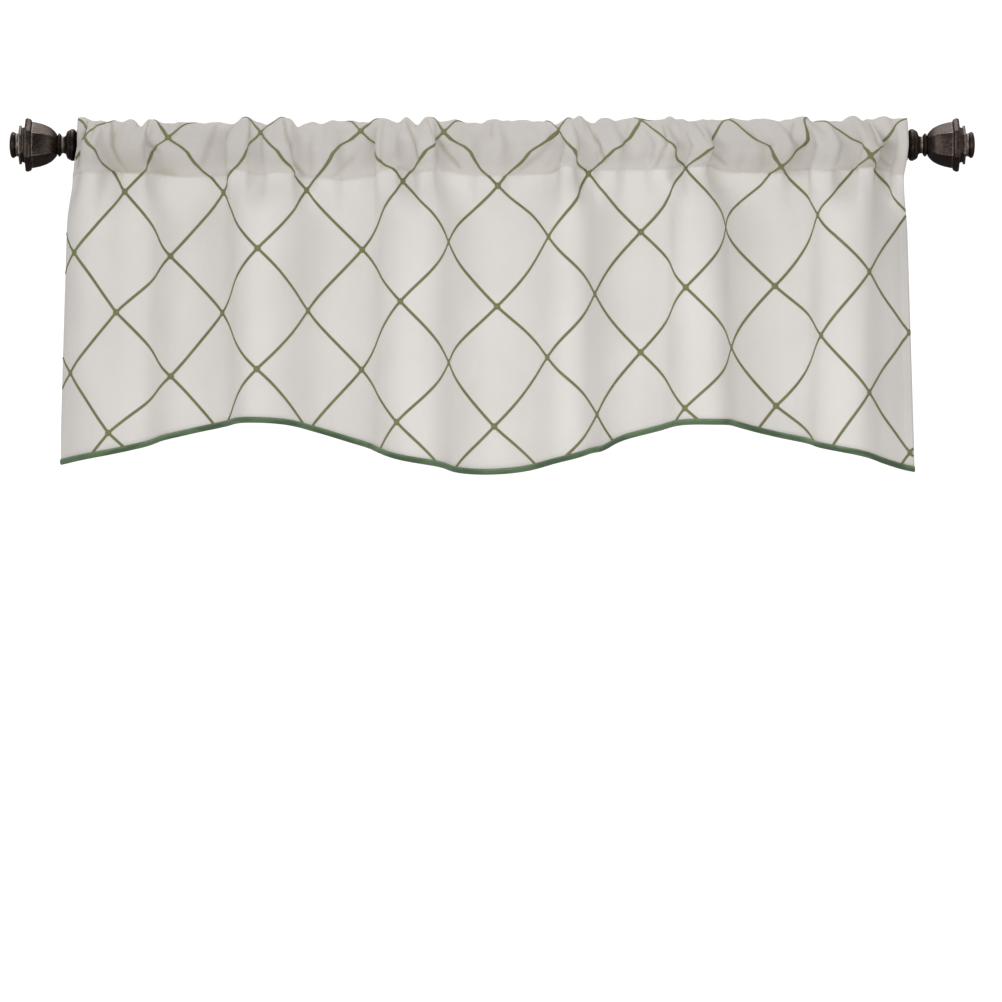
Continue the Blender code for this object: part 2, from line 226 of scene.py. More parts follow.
# Sewing thread
STITCH_PITCH = 0.0032
STITCH_LENGTH = 0.0026
FIRST_STITCH = 0.001
THREAD_RADIUS = 0.00032
THREAD_SIDES = 6
THREAD_RINGS = 4
# A direction that no stitch runs in
ACROSS_THREADS = (0.31, 0.0, 0.95)
SEAM_DROP = 0.0006
SEAM_BACK_GAP = 0.0002
SIDE_STITCH_TOP_GAP = 0.004
SIDE_STITCH_HEM_GAP = 0.010
SIDE_STITCH_POINTS = 400
EDGING_HEIGHT = 0.0051
EDGING_OUT = 0.00195

# Finial turnings: distance from the rod's end and radius (mm)
FINIAL_ROUND = 56
FINIAL_FOOT = (
    (0, 0), (0, 15.2), (0.4, 16.3), (1.5, 18.4), (3, 19.6), (5, 20.1), (6.8, 19.9), (7.6, 18.8),
    (8.6, 19), (10.1, 17.8), (11.5, 17), (12.4, 15.3), (13.3, 12.2), (14.7, 10.8), (16.5, 10.4),
    (18.3, 10.6), (19, 12.2), (20, 13.8), (21.5, 14.7), (23, 13.8), (23.8, 12), (25, 11.2),
    (27, 11), (27, 0),
)
FINIAL_BODY = (
    (24.3, 0), (24.3, 13.6), (27.6, 17.8), (31.2, 21.2), (34.8, 23.3), (38.4, 25), (42, 26.3),
    (45.6, 27.4), (51, 28.6), (56.1, 29.6), (56.1, 0),
)
FINIAL_RIM = (
    (55.8, 0), (55.8, 30.2), (56.8, 32.2), (59, 33.1), (61.3, 33.9), (64, 32.6), (64, 24),
    (65.5, 22.4), (68.3, 21.5), (68.6, 24.4), (71.8, 24.4), (71.8, 0),
)
FINIAL_KNOB = (
    (70, 0), (70, 14.7), (72.4, 14.9), (73.4, 14.3), (75.2, 14.3), (76.4, 14.9), (77.5, 15.8),
    (78.6, 16.4), (79.6, 16.5), (80.7, 15.9), (81.8, 14.8), (82.6, 12.4), (83.2, 9.8), (83.7, 5.8),
    (83.9, 0),
)
# Parts of the casting: turning, number of sides and width of the rounded edges (mm)
FINIAL_PARTS = (
    (FINIAL_FOOT, FINIAL_ROUND, 0),
    (FINIAL_BODY, 6, 1.1),
    (FINIAL_RIM, 6, 0.6),
    (FINIAL_KNOB, FINIAL_ROUND, 0),
)
MERGE_DISTANCE = 0.00002
EDGE_SEGMENTS = 3
# Least turn (degrees) of an edge that is rounded, and of one that shades sharp
ROUNDED_ANGLE = 28
SHARP_ANGLE = 38
# Turn (degrees) at which an edge starts to shine and shines fully, and the same for a dark groove
SHINE_ANGLES = (9, 23)
GROOVE_ANGLES = (20, 50)
ROUND_PARTS_WEAR = 0.3
# Rings with a painted highlight, by distance from the rod's end (mm), and the value they are set to
PAINTED_HIGHLIGHT_RINGS = ((14.8, 18.4), (72.9, 75.7))
PAINTED_HIGHLIGHT_VALUE = 0.75

# Finishes: pitches of threads and ribs, and heights at which the pocket comes to lie on the rod, over
# which its painted shade of the rod comes in
WEAVE_PITCH = 0.00085
SATIN_PITCH = 0.0009
REVERSE_PITCH = 0.0013
RIB_PITCH = 0.0008
ROD_SHADE_HEIGHTS = (0.008, 0.042)
NO_TINT = (1.0, 1.0, 1.0)

# Camera: the point it looks at, how far in front it stands, and the width it takes in there
LOOK_AT = (0.011, 0.0, -0.445)
CAMERA_DISTANCE = 9.0
VIEW_WIDTH = 1.2525
SENSOR_WIDTH = 36.0
SIGHT_LENGTH = 60.0
FLOOR_DROP = 1.25
FLOOR_RADIUS = 2.5
FLOOR_SIDES = 96
# Light that comes from all round, and how much brighter the background looks
AMBIENT = 0.48
BACKGROUND_LIFT = 0.6
# Soft boxes: name, place, point that they face, width and height, watts
SOFT_BOXES = (
    ("key", (-5.1, -5.7, 0.6), (0.0, 0.0, -0.2), (3.0, 3.0), 126.0),
    ("right", (5.0, -4.6, -0.4), (0.0, 0.0, -0.2), (2.4, 2.4), 53.0),
    ("near", (0.16, -1.0, -0.35), (0.16, 0.0, -0.25), (0.9, 0.4), 2.2),
    ("top", (0.0, -0.6, 2.2), (0.0, 0.0, 0.0), (1.2, 1.2), 9.0),
    ("back", (0.0, 1.1, 1.9), (0.0, 0.0, 0.0), (1.6, 1.0), 14.0),
)


# Shape of the hanging cloth, as in the solids


def bells(rows, along):
    """Sum of a table's rows, each a smooth bell at its place along the cloth."""
    total = np.zeros_like(along)
    for at, height, reach in rows:
        total += height * np.exp(-((along * 1000 - at) / reach) ** 2)
    return total


def ease(share):
    """Smooth step from 0 to 1."""
    share = np.clip(share, 0.0, 1.0)
    return share * share * (3 - 2 * share)


def running_sum(values):
    """Area under values that lie a fine step apart, up to each of them."""
    steps = (values[1:] + values[:-1]) / 2 * FINE_STEP
    return np.concatenate(([0.0], np.cumsum(steps)))


def fold_line(folds, along, middle_x):
    """X and forward depth of the cloth at one level, from how it turns along its width."""
    turn = np.radians(bells(folds, along))
    x = running_sum(np.cos(turn))
    x += middle_x - np.interp(MIDDLE_AT, along, x)
    depth = running_sum(np.sin(turn))
    scaled = 2 * along / CLOTH_WIDTH - 1
    depth -= np.polyval(np.polyfit(scaled, depth, DRIFT_ORDER), scaled)
    return x, depth - depth.mean()


def evened(x, share):
    """X moved a share of the way to an even spread between its two ends."""
    return (1 - share) * x + share * np.linspace(x[0], x[-1], len(x))


def stitch_plan(along):
    """X and forward depth of the line of stitches under the pocket."""
    x, depth = fold_line(POCKET_FOLDS, along, MIDDLE_X_TOP)
    return np.array((evened(x, STITCH_EVENNESS) + bells(STITCH_SHIFTS, along) / 1000, depth))


def hanging_line(along, drop):
    """Fold line at a drop below the stitches: pocket folds open out into the skirt's."""
    pocket = stitch_plan(along)
    skirt_top = np.array(fold_line(SKIRT_TOP_FOLDS, along, MIDDLE_X_TOP))
    hem = np.array(fold_line(HEM_FOLDS, along, MIDDLE_X_HEM))
    low = drop / (HEM_DROP - STITCH_DROP)
    loose = ease(drop / FOLD_CHANGE_DROP)
    return (1 - loose) * pocket + loose * ((1 - low) * skirt_top + low * hem)


def stitch_height(along):
    """Height of the line of stitches under the pocket."""
    return -STITCH_DROP + bells(STITCH_LIFTS, along) / 1000


def hem_height(along):
    """Height of the scalloped lower edge."""
    phase = 2 * math.pi * (along - SCALLOP_LOWEST_AT) / SCALLOP_LENGTH
    return -HEM_DROP - HEM_SCALLOP * np.cos(phase) + bells(HEM_LIFTS, along) / 1000


def around_rod(along, degrees):
    """A row over the rod. 0 degrees is the front, 90 the top and 180 the back."""
    x, depth = fold_line(POCKET_FOLDS, along, MIDDLE_X_TOP)
    stand = depth - depth.min()
    most = stand.max()
    back = degrees / 180
    side_stand = (1 - back) * stand + back * (most - stand)
    top_stand = POCKET_TOP_LIFT + POCKET_TOP_SHARE * (stand - most / 2)
    top_stand = np.maximum(top_stand + bells(TOP_LIFTS, along) / 1000, 0.0)
    height = math.sin(math.radians(degrees))
    x = evened(x, height)
    radius = ROD_RADIUS + POCKET_CLEARANCE + CLOTH_THICK / 2
    radius = radius + (1 - height) * side_stand + height * top_stand
    y = -radius * math.cos(math.radians(degrees))
    z = radius * height - POCKET_CENTRE_DROP * (1 - height)
    return x, y, z


def skirt_row(along, share):
    """A row of the skirt: share 0 is the stitch line and share 1 the lower edge."""
    top = stitch_height(along)
    z = top + (hem_height(along) - top) * share
    x, depth = hanging_line(along, share * (HEM_DROP - STITCH_DROP))
    return x, -depth, z


def behind(row, offset):
    """A row moved back from the cloth's front face."""
    x, y, z = row
    run_x = np.gradient(x)
    run_y = np.gradient(y)
    length = np.hypot(run_x, run_y)
    return x - offset * (run_y / length), y + offset * (run_x / length), z


def pocket_wall(along, degrees, share, layer_offset):
    """A row between the rod's side and the stitch line, for the front or the back layer."""
    x, side_y, side_z = around_rod(along, degrees)
    stitch_x, stitch_y, stitch_z = behind(skirt_row(along, 0.0), layer_offset)
    x = x + (stitch_x - x) * share
    pinch = math.cos(math.pi / 2 * share ** POCKET_FULLNESS)
    y = stitch_y + (side_y - stitch_y) * pinch
    z = side_z + (stitch_z - side_z) * share
    return x, y, z


def column_places(count):
    """Places along the cloth for a mesh's columns, closest where the folds bend most."""
    bend = np.zeros_like(ALONG)
    for folds in (POCKET_FOLDS, SKIRT_TOP_FOLDS, HEM_FOLDS):
        bend += np.abs(np.gradient(np.radians(bells(folds, ALONG)), FINE_STEP))
    progress = running_sum(1 + bend / bend.mean())
    return np.interp(np.linspace(0, progress[-1], count), progress, ALONG)


# The cloth as it shows, with its small relief


def waves(rows, along, way):
    """Sum of a table's waves, in metres."""
    total = np.zeros_like(along)
    for length, height, start, lean in rows:
        total += height * np.sin(2 * math.pi * (along + lean * way) * 1000 / length + start)
    return total / 1000


def crease(along, way, row):
    """A soft trough with low swells beside it, between two points of the cloth."""
    from_at, from_up, to_at, to_up, depth, reach = row
    start = np.array((from_at, -from_up)) / 1000
    run = np.array((to_at, -to_up)) / 1000 - start
    length = np.hypot(*run)
    beside = ((along - start[0]) * run[1] - (way - start[1]) * run[0]) / length
    share = ((along - start[0]) * run[0] + (way - start[1]) * run[1]) / length ** 2
    past_full = np.maximum(np.abs(share - 0.5) - CREASE_FULL_SHARE / 2, 0.0)
    past = (past_full * length * 1000 / reach) ** 2
    spread = (beside * 1000 / reach) ** 2
    swell = CREASE_SWELL * np.exp(-spread / CREASE_SWELL_REACH ** 2)
    return depth / 1000 * (swell - np.exp(-spread)) * np.exp(-past / CREASE_FADE ** 2)


def relief(along, way):
    """How far the cloth's face stands off its smooth fall. Way is 0 at the stitch line and
    above 0 below it."""
    near = np.exp(-np.abs(way) / PUCKER_REACH)
    lift = waves(PUCKERS, along, way) * near
    lift -= STITCH_PULL * np.exp(-(way / STITCH_PULL_REACH) ** 2)
    lift += waves(POCKET_WRINKLES, along, way) * np.clip(-way / WRINKLES_FULL_AT, 0, 1)
    lift += waves(SKIRT_WAVES, along, way) * np.clip(way / WAVES_FULL_AT, 0, 1)
    from_hem = np.minimum(along, CLOTH_WIDTH - along) - SIDE_HEM
    lift += SIDE_HEM_RISE * (1 - np.tanh(from_hem / SIDE_HEM_RISE_REACH))
    lift -= SIDE_HEM_SINK * np.exp(-(from_hem / SIDE_HEM_SINK_REACH) ** 2)
    for row in CREASES:
        lift += crease(along, way, row)
    return lift


def crease_shade(along, way):
    """Painted shade of the pocket's creases: how deep in one of them each point lies, from 0 to 1."""
    deep = np.zeros_like(along)
    for row in CREASES:
        deep += np.clip(-crease(along, way, row) / CREASE_SHADE_DEPTH, 0, 1)
    return np.clip(deep, 0, 1) * np.clip(-way / CREASE_SHADE_FROM, 0, 1)


def square_to(first, second):
    """Unit direction at right angles to two others, at each point of a grid."""
    square = np.cross(first, second)
    return square / np.linalg.norm(square, axis=2, keepdims=True)


def faces_out(grid):
    """Unit normal of the front face at each point of a grid of rows."""
    return square_to(np.gradient(grid, axis=0), np.gradient(grid, axis=1))


def hung_cloth():
    """Points of the cloth's middle layer by rows from the pocket's back to the hem, the way of
    each row's points down the cloth, and the rows' levels for looking points up."""
    rows = [behind(skirt_row(ALONG, FLAP_DROP / (HEM_DROP - STITCH_DROP)), LAYER_OFFSET)]
    for share in np.linspace(1, 0, BACK_ROWS)[:-1]:
        rows.append(pocket_wall(ALONG, 180, share, LAYER_OFFSET))
    for degrees in (*np.linspace(*ROD_BACK_ROWS), *np.linspace(*ROD_FRONT_ROWS)):
        rows.append(around_rod(ALONG, degrees))
    for share in np.linspace(0, 1, FRONT_ROWS)[1:-1]:
        rows.append(pocket_wall(ALONG, 0, share, 0.0))
    first_skirt = len(rows)
    shares = np.concatenate((np.linspace(*SKIRT_TOP_ROWS), np.linspace(*SKIRT_ROWS)[1:]))
    for share in shares:
        rows.append(skirt_row(ALONG, share))
    grid = np.array([np.stack(row, axis=1) for row in rows])
    pocket = grid[:first_skirt + 1]
    steps = np.linalg.norm(np.diff(pocket, axis=0), axis=2).mean(axis=1)
    pocket_levels = np.concatenate((np.cumsum(steps[::-1])[::-1], [0.0]))
    way = np.empty(grid.shape[:2])
    way[:first_skirt] = -pocket_levels[:-1, None]
    way[first_skirt:] = shares[:, None] * (stitch_height(ALONG) - hem_height(ALONG))
    lift = relief(np.broadcast_to(ALONG, way.shape), way)
    follows = np.clip(np.linspace(SEAM_FOLLOW, 0, BACK_ROWS), 0, 1)[:, None]
    lift[:BACK_ROWS] = lift[:BACK_ROWS] * (1 - follows) - lift[first_skirt] * follows
    grid = grid + faces_out(grid) * lift[:, :, None]
    # The cloth is moved out where a trough takes it too near the rod
    away = np.hypot(grid[:, :, 1], grid[:, :, 2])
    grid[:, :, 1:] *= np.maximum((ROD_RADIUS + ROD_STAND_OFF) / away, 1.0)[:, :, None]
    return grid, way, pocket_levels, shares


ALONG = np.linspace(0.0, CLOTH_WIDTH, round(CLOTH_WIDTH / FINE_STEP) + 1)
CLOTH, WAY, POCKET_LEVELS, SKIRT_SHARES = hung_cloth()
CLOTH_OUT = faces_out(CLOTH)
STITCH_ROW = len(POCKET_LEVELS) - 1


def on_cloth(along, height, out):
    """Points on the cloth: along it, at a height that the flat cloth would hang at, and a
    distance out from its middle layer."""
    along = np.clip(along, 0, CLOTH_WIDTH)
    top = stitch_height(along)
    share = (top - height) / (top - hem_height(along))
    up = np.interp((height - top) * 1000, *np.array(POCKET_WAYS).T[::-1]) / 1000
    in_pocket = np.interp(-up, -POCKET_LEVELS, np.arange(len(POCKET_LEVELS)))
    in_skirt = STITCH_ROW + np.interp(share, SKIRT_SHARES, np.arange(len(SKIRT_SHARES)))
    row = np.where(share > 0, in_skirt, in_pocket)
    column = along / FINE_STEP
    row_from = np.minimum(row.astype(int), len(CLOTH) - 2)
    column_from = np.minimum(column.astype(int), len(ALONG) - 2)
    down = (row - row_from)[..., None]
    across = (column - column_from)[..., None]

    def on_row(values, row):
        return values[row, column_from] * (1 - across) + values[row, column_from + 1] * across

    def between(values):
        return on_row(values, row_from) * (1 - down) + on_row(values, row_from + 1) * down

    return between(CLOTH) + between(CLOTH_OUT) * np.asarray(out)[..., None]


# Meshes


def line_at(places, known, line):
    """Points at places along a line, from the known places of its own points."""
    return np.stack([np.interp(places, known, values) for values in line.T], axis=1)


def mesh_of(name, shape):
    """The modelled shape as a mesh."""
    mesh = bpy.data.meshes.new(name)
    shape.to_mesh(mesh)
    shape.free()
    return mesh


def placed(name, data):
    """A mesh, a light or a camera as an object of the scene."""
    made = bpy.data.objects.new(name, data)
    bpy.context.scene.collection.objects.link(made)
    return made


def finished(name, shape, material):
    """The modelled shape as an object that rides on the part, with its material."""
    mesh = mesh_of(name, shape)
    mesh.materials.append(material)
    mesh.shade_smooth()
    piece = placed(name, mesh)
    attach(piece, "root")
    return piece


def laid_strips(name, strips, thick, offset, material):
    """Strips of cloth or thread as one object. A strip is its points by rows and columns and
    their flat sizes, which become the UV map. Rows run down and columns to the right."""
    shape = bmesh.new()
    for points, _ in strips:
        rows, columns = points.shape[:2]
        bmesh.ops.create_grid(shape, x_segments=columns - 1, y_segments=rows - 1, size=0.5)
    piece = finished(name, shape, material)
    mesh = piece.data
    places = np.concatenate([points[::-1].reshape(-1, 3) for points, _ in strips])
    flats = np.concatenate([flat[::-1].reshape(-1, 2) for _, flat in strips])
    mesh.vertices.foreach_set("co", places.astype(np.float32).ravel())
    corners = np.zeros(len(mesh.loops), np.int32)
    mesh.loops.foreach_get("vertex_index", corners)
    flat_map = mesh.uv_layers.new(name="flat")
    flat_map.uv.foreach_set("vector", flats[corners].astype(np.float32).ravel())
    mesh.update()
    solid = piece.modifiers.new("thickness", "SOLIDIFY")
    solid.thickness = thick
    solid.offset = offset
    return piece


def make_cloth(material):
    """The one panel of cloth, from the flap behind the stitches over the rod to the hem."""
    columns = column_places(CLOTH_COLUMNS)
    points = np.array([line_at(columns, ALONG, row) for row in CLOTH])
    ways = np.array([np.interp(columns, ALONG, row) for row in WAY])
    along = np.broadcast_to(columns, ways.shape)
    deep = crease_shade(along, ways)
    flat = np.stack((along, -ways), axis=2)
    flat[0, :, 1] += FLAP_DROP
    cloth = laid_strips("valance_cloth", [(points, flat)], SHOWN_THICK, 0.0, material)
    # The painted shade of the pocket's creases, stored for the cloth's colour
    painted_crease_shade = cloth.data.attributes.new("crease", "FLOAT", "POINT")
    painted_crease_shade.data.foreach_set("value", deep[::-1].astype(np.float32).ravel())
    return cloth


# Trellis embroidery


def trellis_height(column, row):
    """Height of the trellis on the flat cloth, at a place counted in columns and rows."""
    lifts = np.array(TRELLIS_LIFTS) / 1000
    whole = np.clip(np.floor(column), 0, TRELLIS_LAST - 1).astype(int)
    part = ease(column - whole)
    lift = lifts[whole] * (1 - part) + lifts[whole + 1] * part
    slope = TRELLIS_SLOPE * (column - TRELLIS_MIDDLE)
    return TRELLIS_FIRST_ROW - TRELLIS_ROW * (row - 1) + slope + lift


def drawn_along(along, height):
    """Places along the cloth once the gathers have drawn the trellis to the right or left."""
    columns = np.arange(TRELLIS_LAST + 1)
    column = along / TRELLIS_PITCH - TRELLIS_START
    at_top, at_hem, lean = (
        np.interp(column, columns, shifts) / 1000
        for shifts in (TRELLIS_TOP_SHIFTS, TRELLIS_HEM_SHIFTS, TRELLIS_LEANS)
    )
    top = stitch_height(along)
    low = np.clip((top - height) / (top - hem_height(along)), 0.0, 1.0)
    up = np.clip((height - top) / TRELLIS_LEAN_HEIGHT, 0.0, TRELLIS_LEAN_MOST)
    return along + at_top * (1 - low) + at_hem * low + lean * up ** 2


def trellis_runs():
    """Each diagonal of the trellis, as places along the flat cloth and heights."""
    step = EMBROIDERY_STEP / math.hypot(TRELLIS_PITCH, TRELLIS_ROW)
    columns = np.arange(-TRELLIS_PAST_LAST, TRELLIS_LAST + TRELLIS_PAST_LAST, step)
    along = (columns + TRELLIS_START) * TRELLIS_PITCH
    lowest = hem_height(along) + TRELLIS_HEM_GAP
    highest = stitch_height(along) + POCKET_WAYS[-1][1] / 1000 - TRELLIS_BACK_GAP
    for way_down in (1, -1):
        for first in TRELLIS_RUN_STARTS:
            height = trellis_height(columns, first + way_down * columns)
            drawn = drawn_along(along, height)
            kept = (height > lowest) & (height < highest)
            kept &= (drawn > 0) & (drawn < CLOTH_WIDTH)
            if kept.sum() >= LEAST_POINTS:
                yield drawn[kept], height[kept]


def embroidery_strip(along, height, width, crown, foot, side):
    """A run of stitching as a low rounded band on the front (side 1) or back (side -1)."""
    run_along = np.gradient(along)
    run_height = np.gradient(height)
    length = np.hypot(run_along, run_height)
    across = np.linspace(-1, 1, len(crown)) * width / 2
    points = on_cloth(
        along[:, None] + across * (run_height / length)[:, None],
        height[:, None] - across * (run_along / length)[:, None],
        side * (SHOWN_THICK / 2 + foot + np.array(crown)),
    )
    flat = np.stack(np.broadcast_arrays(np.cumsum(length)[:, None], across), axis=2)
    if side > 0:
        return points[:, ::-1], flat[:, ::-1]
    return points, flat


def knot_strip(along, height):
    """A small four-cornered patch of stitching where two runs cross."""
    steps = np.linspace(-1, 1, KNOT_POINTS)
    across, down = np.meshgrid(steps, steps)
    places_along = along + (across + down) / 2 * KNOT_SIZE
    places_height = height + (across - down) / 2 * KNOT_SIZE
    crown = EMBROIDERY_HEIGHT * (KNOT_RIM + KNOT_RISE * (1 - across ** 2) * (1 - down ** 2))
    points = on_cloth(places_along, places_height, SHOWN_THICK / 2 + crown)
    flat = np.stack((across, down), axis=2) * KNOT_SIZE / 2
    return points, flat


def trellis_knots():
    """A knot for each crossing that lies on the cloth."""
    first_row, past_last_row = KNOT_ROWS
    for column in range(TRELLIS_LAST + 1):
        for row in range(first_row + column % 2, past_last_row, 2):
            place = np.array(column, float)
            along = (place + TRELLIS_START) * TRELLIS_PITCH
            height = trellis_height(place, row)
            drawn = drawn_along(along, height)
            lowest = hem_height(along) + KNOTS_ABOVE_HEM
            highest = stitch_height(along) + KNOTS_ABOVE_STITCHES
            if lowest < height < highest and 0 < drawn < CLOTH_WIDTH:
                yield knot_strip(drawn, height)


def make_trellis(material):
    """The trellis on the cloth's front: its diagonal runs and the knots where they cross."""
    section = (EMBROIDERY_WIDTH, EMBROIDERY_HEIGHT * np.array(EMBROIDERY_CROWN), 0.0, 1)
    strips = [embroidery_strip(*run, *section) for run in trellis_runs()]
    strips += trellis_knots()
    return laid_strips("trellis_embroidery", strips, EMBROIDERY_THICK, -1.0, material)


def make_trellis_back(material):
    """The reverse of the embroidery on the skirt, flatter and a little narrower."""
    section = (EMBROIDERY_WIDTH * REVERSE_SHARE, REVERSE_CROWN, REVERSE_FOOT, -1)
    strips = []
    for along, height in trellis_runs():
        below = height < stitch_height(along) - REVERSE_DROP
        if below.sum() >= LEAST_POINTS:
            strips.append(embroidery_strip(along[below], height[below], *section))
    return laid_strips("trellis_reverse", strips, REVERSE_THICK, -1.0, material)


# Hem tape and sewing


def make_tape(material):
    """Tape folded over the hem, from its front edge under the cloth to its back edge."""
    columns = column_places(TAPE_COLUMNS)
    section = [*TAPE_SECTION, *((up, -out) for up, out in reversed(TAPE_SECTION[:-1]))]
    ripple_height, length, swing, pace = TAPE_RIPPLE
    ahead = swing * np.sin(columns * pace)
    ripple = ripple_height * np.sin(columns * 2 * math.pi / length + ahead)
    points = []
    flat = []
    for step, (up, out) in enumerate(section):
        height = hem_height(columns) + max(up, 0.0) / 1000
        place = on_cloth(columns, height, out / 1000 + ripple)
        place[:, 2] += min(up, 0.0) / 1000
        points.append(place)
        flat.append(np.stack((columns, np.full_like(columns, -step * TAPE_STEP)), axis=1))
    strips = [(np.array(points), np.array(flat))]
    return laid_strips("hem_tape", strips, TAPE_THICK, 0.0, material)


def stitch_runs(along, height, out):
    """Start and end points of the stitches along a line on the cloth."""
    line = on_cloth(along, height, out)
    way = np.concatenate(([0.0], np.cumsum(np.linalg.norm(np.diff(line, axis=0), axis=1))))
    starts = np.arange(FIRST_STITCH, way[-1] - STITCH_PITCH, STITCH_PITCH)
    return [line_at(places, way, line) for places in (starts, starts + STITCH_LENGTH)]


def sewn(name, lines, material):
    """Every stitch of the lines as one mesh: a short thread with round ends, laid many times."""
    starts, ends = (np.concatenate(points) for points in zip(*lines))
    shape = bmesh.new()
    bmesh.ops.create_uvsphere(shape, u_segments=THREAD_SIDES, v_segments=THREAD_RINGS, radius=1.0)
    thread = np.array([vertex.co for vertex in shape.verts])
    faces = [[vertex.index for vertex in face.verts] for face in shape.faces]
    shape.free()
    run = (ends - starts)[:, None] / 2
    side = square_to(run, ACROSS_THREADS)
    rise = square_to(run, side)
    points = (starts + ends)[:, None] / 2 + thread[:, 2, None] * run
    points = points - THREAD_RADIUS * (thread[:, 0, None] * side + thread[:, 1, None] * rise)
    every = [
        [corner + count * len(thread) for corner in face]
        for count in range(len(starts))
        for face in faces
    ]
    mesh = bpy.data.meshes.new(name)
    mesh.from_pydata(points.reshape(-1, 3), [], every)
    joined = bmesh.new()
    joined.from_mesh(mesh)
    bpy.data.meshes.remove(mesh)
    return finished(name, joined, material)


def make_cloth_stitches(material):
    """The line of stitches under the pocket, front and back, and those of the side hems."""
    face = SHOWN_THICK / 2
    line = stitch_height(ALONG) - SEAM_DROP
    lines = [
        stitch_runs(ALONG, line, face),
        stitch_runs(ALONG, line, -face - LAYER_OFFSET - SEAM_BACK_GAP),
    ]
    for place in np.array((SIDE_HEM, CLOTH_WIDTH - SIDE_HEM)):
        top = stitch_height(place) - SIDE_STITCH_TOP_GAP
        bottom = hem_height(place) + SIDE_STITCH_HEM_GAP
        down = np.linspace(top, bottom, SIDE_STITCH_POINTS)
        lines += [stitch_runs(np.full_like(down, place), down, out) for out in (face, -face)]
    return sewn("cloth_stitches", lines, material)


def make_tape_stitches(material):
    """Edge stitching of the tape, front and back."""
    line = hem_height(ALONG) + EDGING_HEIGHT
    lines = [stitch_runs(ALONG, line, out) for out in (EDGING_OUT, -EDGING_OUT)]
    return sewn("tape_stitches", lines, material)


# Finials


def turned_part(profile, sides, side):
    """A closed turning about the rod's axis, round with many sides and six-sided with six."""
    shape = bmesh.new()
    start = side * (ROD_LENGTH / 2 + PIECE_GAP)
    line = [(start + side * at / 1000, 0.0, radius / 1000) for at, radius in profile]
    points = [shape.verts.new(place) for place in line]
    edges = [shape.edges.new(pair) for pair in zip(points, points[1:])]
    bmesh.ops.spin(
        shape, geom=points + edges, cent=(0.0, 0.0, 0.0), axis=(1.0, 0.0, 0.0),
        angle=2 * math.pi, steps=sides, use_merge=True,
    )
    bmesh.ops.remove_doubles(shape, verts=shape.verts, dist=MERGE_DISTANCE)
    bmesh.ops.recalc_face_normals(shape, faces=shape.faces)
    return shape


def round_edges(shape, width):
    """Rounds the edges that turn sharply."""
    least = math.radians(ROUNDED_ANGLE)
    sharp = [
        edge for edge in shape.edges
        if len(edge.link_faces) == 2 and edge.calc_face_angle(0.0) > least
    ]
    bmesh.ops.bevel(
        shape, geom=sharp, offset=width / 1000, offset_type="OFFSET", segments=EDGE_SEGMENTS,
        profile=0.5, affect="EDGES", material=-1, clamp_overlap=True,
    )


def share_between(value, limits):
    """0 at or below the first limit, 1 at or above the second and even between."""
    low, high = limits
    return min(max((value - low) / (high - low), 0.0), 1.0)


def note_wear_and_highlights(mesh):
    """Stores how sharply the surface turns at each point: above 0 on edges, which are rubbed bright,
    most on the six-sided parts, and below 0 in grooves, which stay dark. Two rings get a set value
    that gives them a painted highlight."""
    shape = bmesh.new()
    shape.from_mesh(mesh)
    shape.normal_update()
    wear_and_highlight = mesh.attributes.new("wear_and_highlight", "FLOAT", "POINT")
    for vertex, value in zip(shape.verts, wear_and_highlight.data):
        angles = [edge.calc_face_angle_signed(0.0) for edge in vertex.link_edges]
        crown = share_between(math.degrees(max(angles)), SHINE_ANGLES)
        groove = share_between(-math.degrees(min(angles)), GROOVE_ANGLES)
        at = (abs(vertex.co.x) - ROD_LENGTH / 2 - PIECE_GAP) * 1000
        six_sided = FINIAL_BODY[0][0] < at < FINIAL_RIM[-1][0]
        value.value = crown * (1.0 if six_sided else ROUND_PARTS_WEAR) - groove
        # Painted highlight: these rings are set bright, whatever their turn
        if any(start < at < end for start, end in PAINTED_HIGHLIGHT_RINGS):
            value.value = PAINTED_HIGHLIGHT_VALUE
    shape.free()


def make_finial(name, node, side, material):
    """Casting on the rod's end: round foot, six-sided body and rim, round knob."""
    casting = bmesh.new()
    for profile, sides, width in FINIAL_PARTS:
        part = turned_part(profile, sides, side)
        if width:
            round_edges(part, width)
        mesh = mesh_of(name + "_part", part)
        casting.from_mesh(mesh)
        bpy.data.meshes.remove(mesh)
    piece = finished(name, casting, material)
    note_wear_and_highlights(piece.data)
    piece.data.set_sharp_from_angle(angle=math.radians(SHARP_ANGLE))
    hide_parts(node)


# Materials


